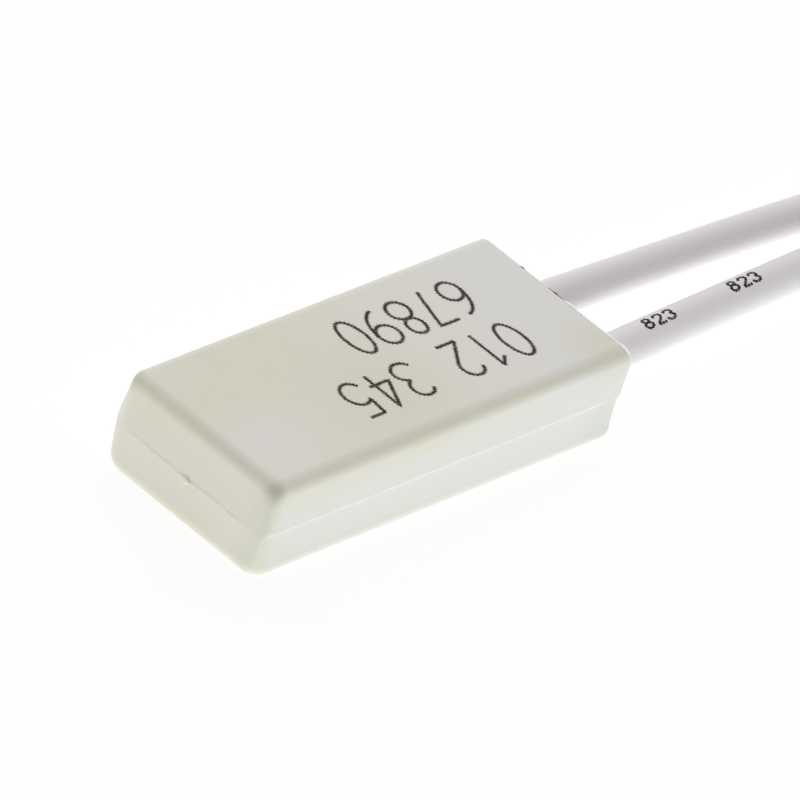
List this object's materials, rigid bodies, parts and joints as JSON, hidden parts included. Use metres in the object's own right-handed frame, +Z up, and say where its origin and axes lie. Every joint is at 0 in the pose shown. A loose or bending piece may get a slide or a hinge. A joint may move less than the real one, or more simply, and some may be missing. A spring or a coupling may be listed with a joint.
{
  "type": "thermal fuse",
  "caption": "Flat white plastic case, closed at one end and sealed with resin at the other, with two insulated leads; opens a circuit for good when it gets too hot.",
  "frame": {"origin": "centre of the case's underside", "axes": "+X along the case from the closed end to the mouth and the leads, +Z up from the underside to the printed face"},
  "size_m": [0.0901, 0.0098, 0.0047],
  "materials": {
    "case_plastic": "moulded, faint satin sheen",
    "resin": "cast, glossy",
    "lead_insulation": "extruded, satin",
    "tinned_copper": "tinned, twisted strands",
    "terminal_brass": "stamped strip",
    "fuse_alloy": "dull cast alloy",
    "rosin": "set rosin"
  },
  "bodies": {
    "root": {"case": "case_plastic", "sealing_resin": "resin", "left_lead_jacket": "lead_insulation", "right_lead_jacket": "lead_insulation", "left_lead_conductor": "tinned_copper", "right_lead_conductor": "tinned_copper", "left_terminal": "terminal_brass", "right_terminal": "terminal_brass", "fusible_link": "fuse_alloy", "flux": "rosin"}
  },
  "joints": []
}
